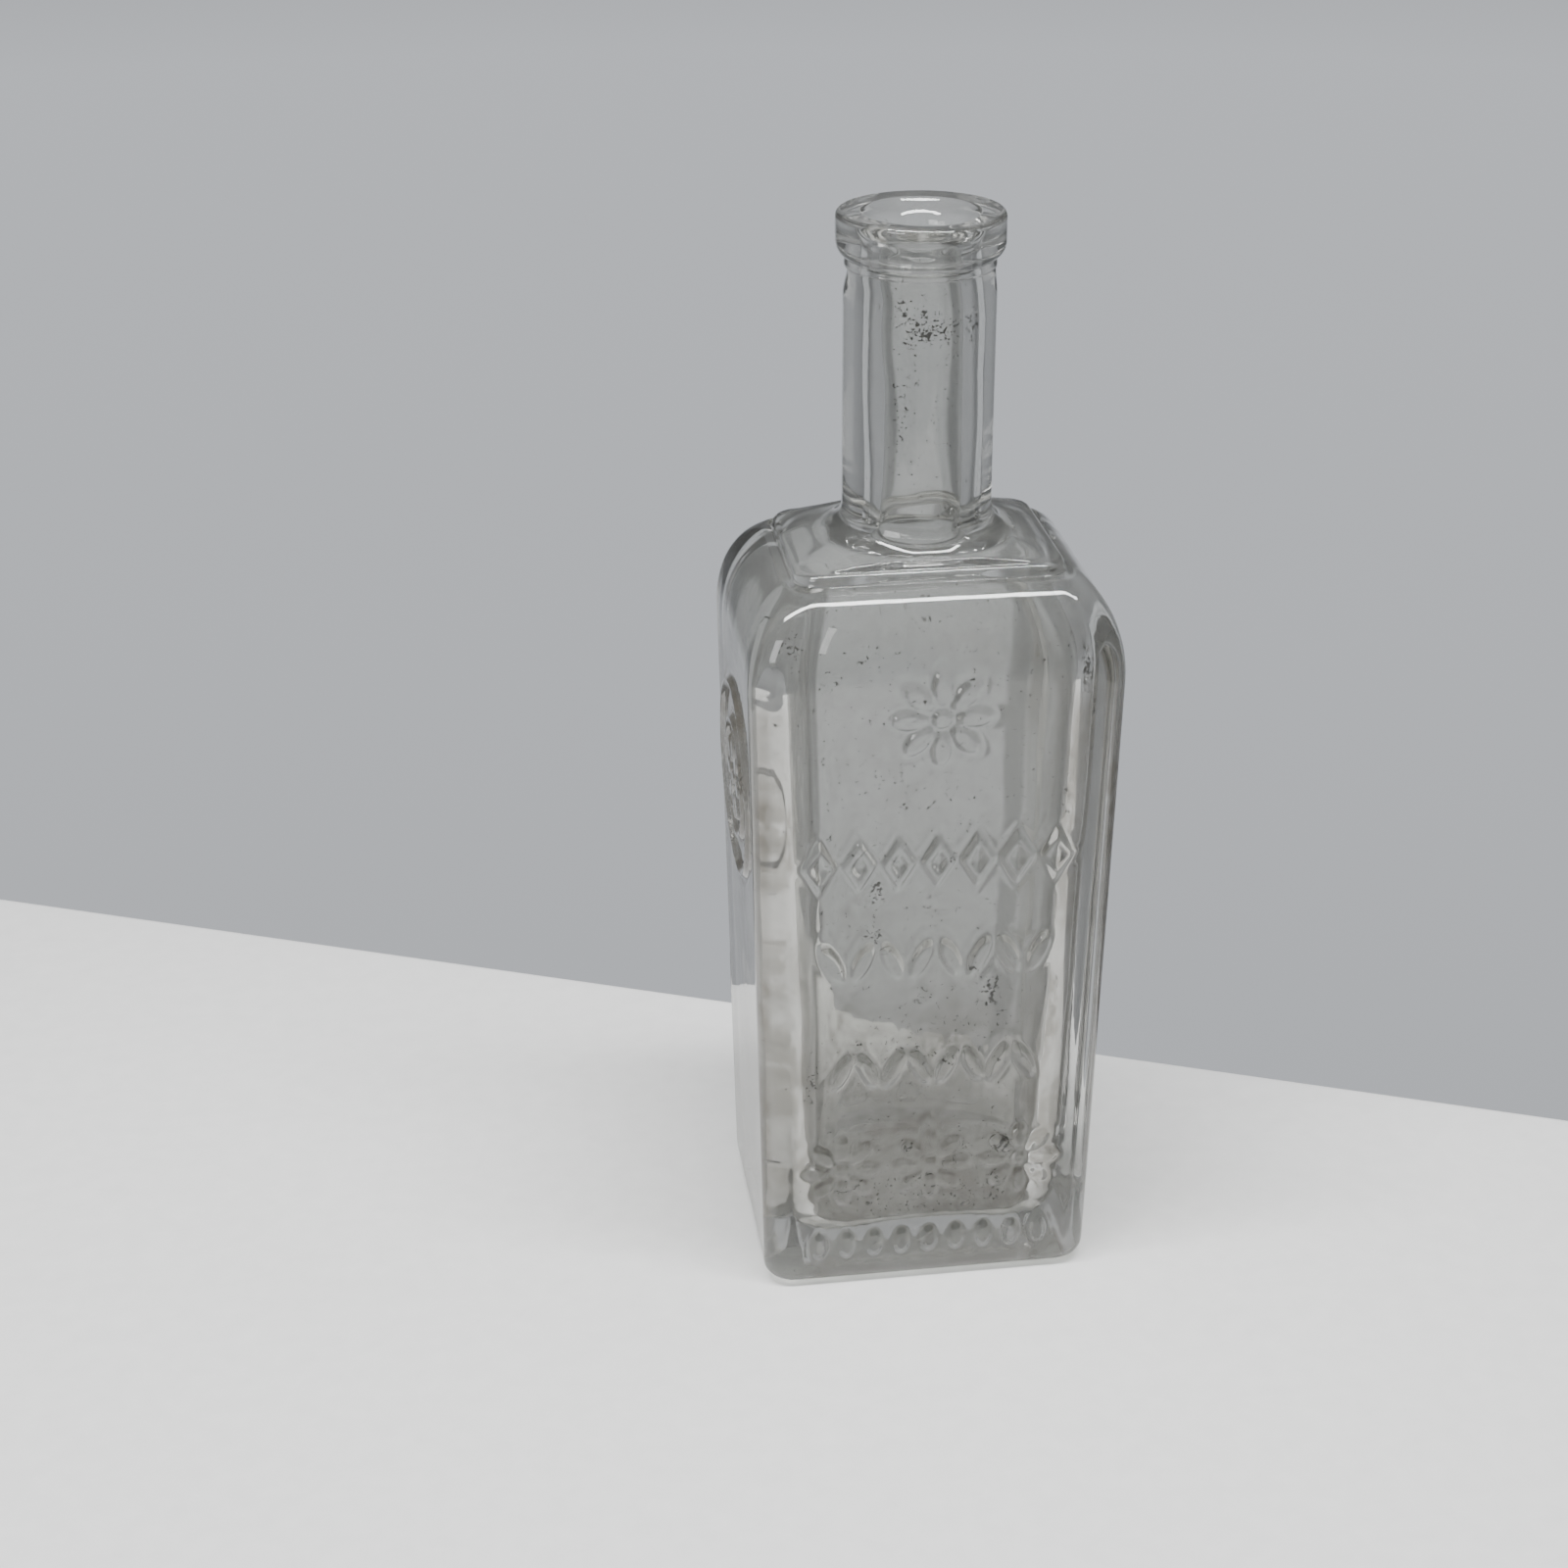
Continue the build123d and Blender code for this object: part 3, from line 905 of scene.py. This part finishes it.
        # ornament, pressed out along the normals of the front and the left panel
        front = (np.abs(half_d[:, None] + y) < 2.5) & (out > 0)
        left = (np.abs(half_w[:, None] + x) < 2.5) & (out > 0)
        across, along = x.copy(), y.copy()
        y = y - np.where(front, self.ornament.front(across, level), 0.0)
        x = x - np.where(left, self.ornament.side(along, level), 0.0)
        points = np.stack([x, y, level], axis=-1)
        piece = closed_mesh("bottle_glass", points, Ends.POLES)
        self.soil(piece, points, count)
        piece.data.materials.append(glass)
        fuse(piece, len(theta), (count - 1,), seam)
        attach(piece, "root")
        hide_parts("bottle_body")
        LOG.info("bottle_glass: %d rows, %d columns", *points.shape[:2])
        return piece

    def soil(self, piece: bpy.types.Object, points: np.ndarray, first_inner: int) -> None:
        """Paint the specks inside as soft spots, and the haze inside and outside.

        The inside is cloudy near its floor and a little under the shoulder. The outside is
        faintly hazed, hazed more on the two narrow panels, and dark at its foot: partly wear,
        partly painted shade.

        Args:
            piece: The body.
            points: Its grid, in millimetres.
            first_inner: Index of the first inner row.
        """
        p, q = points[first_inner:], points[:first_inner]
        grime = np.full(p.shape[:2], 0.2)
        for x, y, z, across, up, strength in self.spots:
            away = ((p[..., 0] - x) ** 2 + (p[..., 1] - y) ** 2) / across ** 2 \
                + (p[..., 2] - z) ** 2 / up ** 2
            grime = np.maximum(grime, strength * np.exp(-away * 0.7))
        haze = 0.09 + 0.34 * np.exp(-((p[..., 2] - 6) / 38) ** 2) \
            + 0.05 * np.exp(-((p[..., 2] - 100) / 12) ** 2)
        narrow = smooth((np.abs(q[..., 0]) - 23.2) / 1.5) * smooth((q[..., 2] - 4) / 8) \
            * smooth((101 - q[..., 2]) / 10)
        # painted shade: the dark haze at the foot stands partly for wear and partly for the shade
        # under the bottle
        outer_haze_and_foot_shade = 0.035 + 0.3 * np.exp(-(q[..., 2] / 8) ** 2) + 0.42 * narrow
        paint(piece, "grime", np.concatenate([np.zeros_like(outer_haze_and_foot_shade), grime]))
        paint(piece, "haze", np.concatenate([outer_haze_and_foot_shade, haze]))


# ---------------------------------------------------------------------------
# the tooled lip
# ---------------------------------------------------------------------------
@dataclass
class TooledLip:
    """Band and flanged lip, turned by hand on the neck's end. Sizes in millimetres."""

    bore: float = 5.5
    collar_r: float = 10.5
    collar_h: float = 1.4
    lip_r: float = 11.8
    under_h: float = 2.2
    edge_r: float = 0.9
    rim_slope: float = 0.25
    mouth_r: float = 8.3
    mouth_depth: float = 4.2
    seam_in: float = 0.7
    columns: int = 160

    def profile(self) -> np.ndarray:
        """Outline of the section, from the bore's foot round the outside and back.

        Returns:
            Points of radius and height.
        """
        z0 = float(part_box("lip_finish")[0][2]) / MM
        top = float(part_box("lip_finish")[1][2]) / MM
        under = z0 + self.collar_h
        side = under + self.under_h
        edge = top - self.edge_r
        rim = top - self.rim_slope
        flange, flare = self.lip_r - self.collar_r, self.mouth_r - self.bore
        foot = np.array([(self.bore, z0), (self.bore + 2.0, z0), (self.collar_r - self.seam_in, z0),
                         (self.collar_r - 0.1, z0), (self.collar_r, z0 + 0.12),
                         (self.collar_r, z0 + 0.6), (self.collar_r - 0.02, under - 0.2)])
        swell = bezier((self.collar_r, under),
                       (self.collar_r + 0.75 * flange, under + 0.2 * self.under_h),
                       (self.lip_r, side - 0.45 * self.under_h), (self.lip_r, side), 10)
        upright = np.stack([np.full(3, self.lip_r),
                            between(side, edge, np.array([0.3, 0.6, 0.9]))], axis=-1)
        turn = np.linspace(0, QUARTER, 8)
        brow = np.stack([self.lip_r - self.edge_r * (1 - np.cos(turn)),
                         edge + self.edge_r * np.sin(turn)], axis=-1)
        share = np.array([0.3, 0.6, 0.85, 0.96])
        crown = np.stack([between(brow[-1, 0], self.mouth_r, share),
                          top - self.rim_slope * share ** 2], axis=-1)
        funnel = bezier((self.mouth_r, rim),
                        (self.bore + 0.75 * flare, rim - 0.25 * self.mouth_depth),
                        (self.bore, rim - 0.45 * self.mouth_depth),
                        (self.bore, rim - self.mouth_depth), 12)
        throat = np.stack([np.full(3, self.bore),
                           between(z0, funnel[-1, 1], np.array([0.75, 0.5, 0.25]))], axis=-1)
        return np.concatenate([foot, swell, upright, brow, crown, funnel, throat])

    def build(self, glass: bpy.types.Material, seam: bpy.types.Material) -> bpy.types.Object:
        """Build the closed ring of the lip, a little out of true.

        Args:
            glass: The material.
            seam: The material of the face on the neck.

        Returns:
            The piece.
        """
        outline = self.profile()
        z0, top = outline[:, 1].min(), outline[:, 1].max()
        theta = np.linspace(0, FULL_TURN, self.columns, endpoint=False)
        r = np.repeat(outline[:, :1], self.columns, axis=1)
        level = np.repeat(outline[:, 1:], self.columns, axis=1)
        # out of true: nowhere at the parting line, then more towards the rim
        free = smooth((outline[:, 1] - z0 - 0.5) / 2.0)[:, None]
        outer = (outline[:, 0] > 9.0)[:, None]
        sway = waves(theta, outline[:, 1], 3, (1, 2, 3, 5), 14.0)
        r = r + free * np.where(outer, -0.11 + 0.11 * sway, 0.08 * sway)
        dip = (np.sin(2 * theta + 0.7) + 0.6 * np.sin(3 * theta + 2.0) - 1.6) * 0.055
        level = level + smooth((level - top + 3.0) / 3.0) * dip[None, :]
        points = np.stack([r * np.cos(theta), r * np.sin(theta), level], axis=-1)
        piece = closed_mesh("lip_glass", points, Ends.RING)
        paint(piece, "grime", np.full(points.shape[:2], 0.01) * (~outer))
        paint(piece, "haze", np.full(points.shape[:2], 0.06))
        piece.data.materials.append(glass)
        fuse(piece, self.columns, (0, 1), seam)
        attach(piece, "root")
        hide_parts("lip_finish")
        LOG.info("lip_glass: %d rows, %d columns", *points.shape[:2])
        return piece


# ---------------------------------------------------------------------------
# studio
# ---------------------------------------------------------------------------
@dataclass
class Studio:
    """Plain pale floor, soft surround, soft lamps and the camera.

    Sizes are in millimetres and angles in radians. The stops of the surround give a
    brightness for each share of height, and for each share of the way to the side.
    """

    slab: tuple[float, float, float] = (505.0, 430.0, 12.0)  # width, depth, thickness
    edge_at: tuple[float, float] = (54.4, 35.7)  # middle of the slab's back edge
    edge_turn: float = -0.419  # how far that edge is turned
    lens: float = 63.0
    azimuth: float = -0.1362
    pitch: float = 0.4425
    roll: float = -0.0047
    distance: float = 407.1
    across: float = -18.9  # how far the view is moved to the right
    aim_z: float = 74.1  # height that the middle of the view aims at
    sky: tuple[tuple[float, float], ...] = (
        (-1.0, 0.42), (-0.62, 0.45), (-0.53, 0.54), (-0.4, 0.58), (-0.18, 0.62), (-0.06, 0.3),
        (0.15, 0.2), (0.4, 0.34), (0.65, 0.5), (1.0, 0.5))
    flanks: tuple[tuple[float, float], ...] = (
        (-1.0, 0.6), (-0.6, 0.6), (-0.38, 0.3), (-0.25, 0.32), (-0.17, 1.0), (0.4, 1.0),
        (0.47, 0.32), (0.62, 0.3), (0.82, 0.6), (1.0, 0.6))
    cool: tuple[float, float, float] = (0.955, 0.99, 1.05)

    def floor(self) -> None:
        """Make the floor, a wide thin slab with a rounded edge, its top at height zero."""
        turn = np.linspace(0, FULL_TURN, 160, endpoint=False)
        inset = np.array([0.0, 0.3, 1.0, 2.0])
        sink = np.array([-2.0, -0.7, -0.15, 0.0])
        wide, deep = self.slab[0] / 2, self.slab[1] / 2
        share = np.array([0.7, 0.35, 0.02])
        half_w = np.concatenate([wide * share[::-1], [wide], wide - inset, wide * share])
        half_d = np.concatenate([deep * share[::-1], [deep], deep - inset, deep * share])
        level = np.concatenate([np.full(4, -self.slab[2]), sink, np.zeros(3)])
        r = rounded_rectangle(turn, half_w, half_d, np.minimum(half_w, half_d) * 0.04)
        c, s = math.cos(self.edge_turn), math.sin(self.edge_turn)
        x, y = r * np.cos(turn), r * np.sin(turn) - deep
        points = np.stack([self.edge_at[0] + c * x - s * y, self.edge_at[1] + s * x + c * y,
                           np.repeat(level[:, None], len(turn), axis=1)], axis=-1)
        slab = closed_mesh("studio_floor", points, Ends.POLES)
        slab.data.materials.append(PaleFloor().build())

    def surround(self) -> None:
        """Make the soft surround.

        It is even behind the bottle and darker over the horizon and at both sides, so
        that dark lines draw the edges of the glass. Its colour is the brightness by height
        times the brightness by side.
        """
        world = bpy.data.worlds.new("studio")
        bpy.context.scene.world = world
        world.use_nodes = True
        tree = world.node_tree
        new, link = tree.nodes.new, tree.links.new
        split = new("ShaderNodeSeparateXYZ")
        link(new("ShaderNodeTexCoord").outputs["Generated"], split.inputs[0])

        def ramp(source: bpy.types.NodeSocket, stops: tuple[tuple[float, float], ...],
                 colour: tuple[float, float, float]) -> bpy.types.NodeSocket:
            """Turn a share between -1 and 1 into a tinted brightness.

            Args:
                source: The share.
                stops: Shares and their brightness.
                colour: The tint.

            Returns:
                The colour.
            """
            shift, node = new("ShaderNodeMapRange"), new("ShaderNodeValToRGB")
            shift.inputs["From Min"].default_value = -1.0
            link(source, shift.inputs["Value"])
            link(shift.outputs["Result"], node.inputs[0])
            while len(node.color_ramp.elements) < len(stops):
                node.color_ramp.elements.new(0.5)
            for element, (at, bright) in zip(node.color_ramp.elements, stops):
                element.position = (at + 1) / 2
                element.color = (*(bright * share for share in colour), 1)
            return node.outputs["Color"]

        height = ramp(split.outputs["Z"], self.sky, self.cool)
        shade = ramp(split.outputs["X"], self.flanks, (1.0, 1.0, 1.0))
        mix = new("ShaderNodeMix")
        mix.data_type, mix.blend_type = "RGBA", "MULTIPLY"
        mix.inputs["Factor"].default_value = 1.0
        link(height, mix.inputs["A"])
        link(shade, mix.inputs["B"])
        link(mix.outputs["Result"], tree.nodes["Background"].inputs["Color"])

    def lamp(self, name: str, place: tuple[float, float, float], size: tuple[float, float],
             power: float) -> None:
        """Add a rectangular soft lamp that faces the bottle.

        Args:
            name: Name of the lamp.
            place: Its place in millimetres.
            size: Its width and depth in millimetres.
            power: Its power in watts.
        """
        data = bpy.data.lights.new(name, "AREA")
        data.shape, data.energy = "RECTANGLE", power
        data.size, data.size_y = size[0] * MM, size[1] * MM
        lamp = bpy.data.objects.new(name, data)
        lamp.location = Vector(place) * MM
        lamp.rotation_euler = (Vector((0, 0, 0.08)) - lamp.location).to_track_quat(
            "-Z", "Y").to_euler()
        bpy.context.collection.objects.link(lamp)

    def camera(self) -> None:
        """Place the camera from its angles, its distance and the point that it aims at.

        It looks along the azimuth and down by the pitch, then rolls about that line. Its
        eye is the aim, plus the move across, less the distance along the line.
        """
        az, pitch, roll = self.azimuth, self.pitch, self.roll
        ahead = Vector((-math.sin(az) * math.cos(pitch), math.cos(az) * math.cos(pitch),
                        -math.sin(pitch)))
        right = Vector((ahead.y, -ahead.x, 0)).normalized()
        up = right.cross(ahead)
        side = right * math.cos(roll) + up * math.sin(roll)
        top = up * math.cos(roll) - right * math.sin(roll)
        eye = Vector((0, 0, self.aim_z)) + right * self.across - ahead * self.distance
        data = bpy.data.cameras.new("camera")
        data.lens, data.sensor_width = self.lens, 36.0
        data.clip_start, data.clip_end = 0.01, 20.0
        cam = bpy.data.objects.new("camera", data)
        turn = Matrix((side, top, -ahead)).transposed().to_4x4()
        cam.matrix_world = Matrix.Translation(eye * MM) @ turn
        bpy.context.collection.objects.link(cam)
        bpy.context.scene.camera = cam

    def build(self) -> None:
        """Build the whole studio."""
        self.floor()
        self.surround()
        self.lamp("lamp_above", place=(-20, -120, 640), size=(620, 70), power=9.0)
        self.lamp("lamp_left", place=(-420, -420, 420), size=(260, 260), power=1.6)
        self.camera()


def main() -> None:
    """Build the studio and the bottle, in order."""
    logging.basicConfig(level=logging.INFO, format="%(name)s %(message)s")
    Studio().build()
    glass, seam = ClearGlass().build(), FusedSeam().build()
    BlownBody().build(glass, seam)
    TooledLip().build(glass, seam)


if __name__ == "__main__":
    main()
